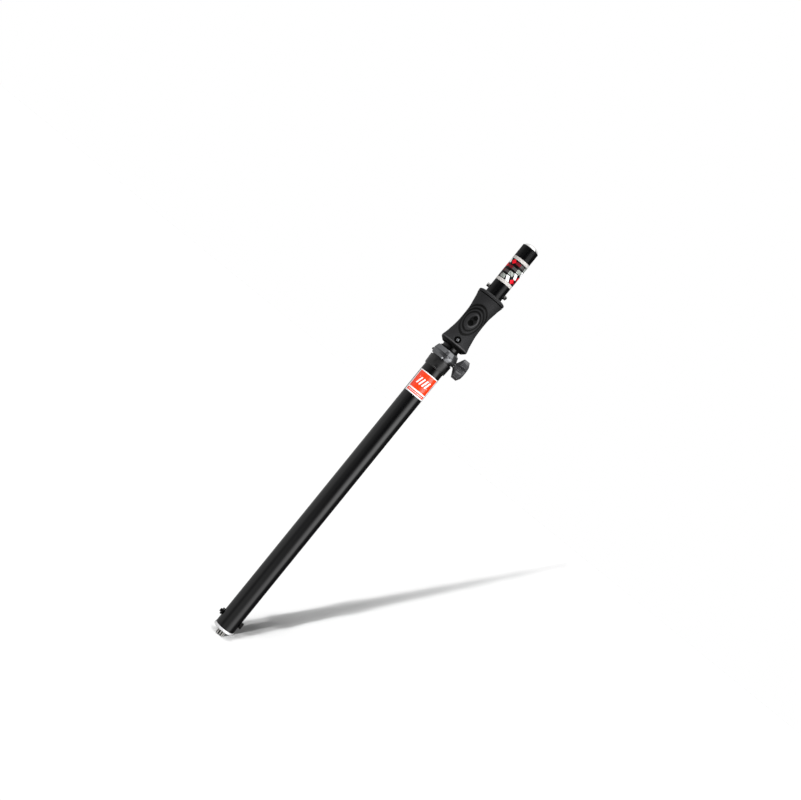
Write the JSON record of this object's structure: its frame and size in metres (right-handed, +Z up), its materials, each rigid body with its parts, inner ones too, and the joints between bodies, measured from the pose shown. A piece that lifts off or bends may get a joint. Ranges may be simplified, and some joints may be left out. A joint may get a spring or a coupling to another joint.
{
  "type": "speaker pole",
  "caption": "Telescoping loudspeaker pole: threaded foot, gas-assisted upper tube with a waisted hand grip, and a clamp collar with a lobed lock knob.",
  "frame": {"origin": "on the pole's axis, in the plane of the seat under the base flange", "axes": "+Z up along the pole, +X towards the lock knob, -Y is the front with the grip screw"},
  "size_m": [0.088, 0.0642, 1.0275],
  "materials": {
    "black_powder_coat": "satin black powder coat",
    "bright_chrome": "polished chrome plate",
    "plain_steel": "zinc-plated steel",
    "black_steel": "black oxide",
    "grey_nylon": "moulded grey nylon",
    "black_nylon": "moulded black nylon",
    "charcoal_rubber": "moulded charcoal rubber with a ripple pattern",
    "orange_vinyl": "orange sticker with a white border",
    "printed_vinyl": "printed wrap sticker"
  },
  "bodies": {
    "lower": {"base_plug": "bright_chrome", "base_stud": "bright_chrome", "lower_tube": "black_powder_coat", "base_bolt": "black_steel", "base_bolt_nut": "black_steel", "tube_sleeve": "black_nylon", "clamp_collar": "grey_nylon", "clamp_insert": "plain_steel", "collar_screw": "black_steel", "guide_bushing": "black_nylon", "lower_label": "orange_vinyl", "rod_foot_eye": "plain_steel", "rod_extension": "plain_steel", "spring_rod": "bright_chrome", "spring_piston": "plain_steel"},
    "mast": {"upper_tube": "black_powder_coat", "end_cap": "bright_chrome", "mast_glide": "black_nylon", "grip_front": "charcoal_rubber", "grip_rear": "charcoal_rubber", "grip_ring": "charcoal_rubber", "grip_screw_front": "plain_steel", "grip_screw_rear": "plain_steel", "upper_bolt": "bright_chrome", "upper_bolt_nut": "bright_chrome", "upper_washer_left": "bright_chrome", "upper_washer_right": "bright_chrome", "upper_label": "printed_vinyl", "spring_top_eye": "plain_steel", "spring_cylinder": "black_powder_coat", "rod_guide": "plain_steel", "rod_seal": "black_nylon"},
    "pad": {"clamp_pad": "grey_nylon"},
    "knob": {"lock_knob": "black_nylon", "knob_stud": "plain_steel"}
  },
  "joints": [
    {"name": "mast_slide", "type": "slide", "parent": "lower", "child": "mast", "axis": [0, 0, 1], "range_m": [0, 0.5]},
    {"name": "pad_travel", "type": "slide", "parent": "lower", "child": "pad", "axis": [1, 0, 0], "range_m": [0, 0.0019]},
    {"name": "knob_turn", "type": "hinge", "parent": "pad", "child": "knob", "pos_m": [0.0283, 0, 0.7201], "axis": [1, 0, 0], "range_deg": [0, 540]}
  ],
  "couplings": [
    {"joint": "pad_travel", "follows": "knob_turn", "m_per_rad": 0.00019894}
  ]
}
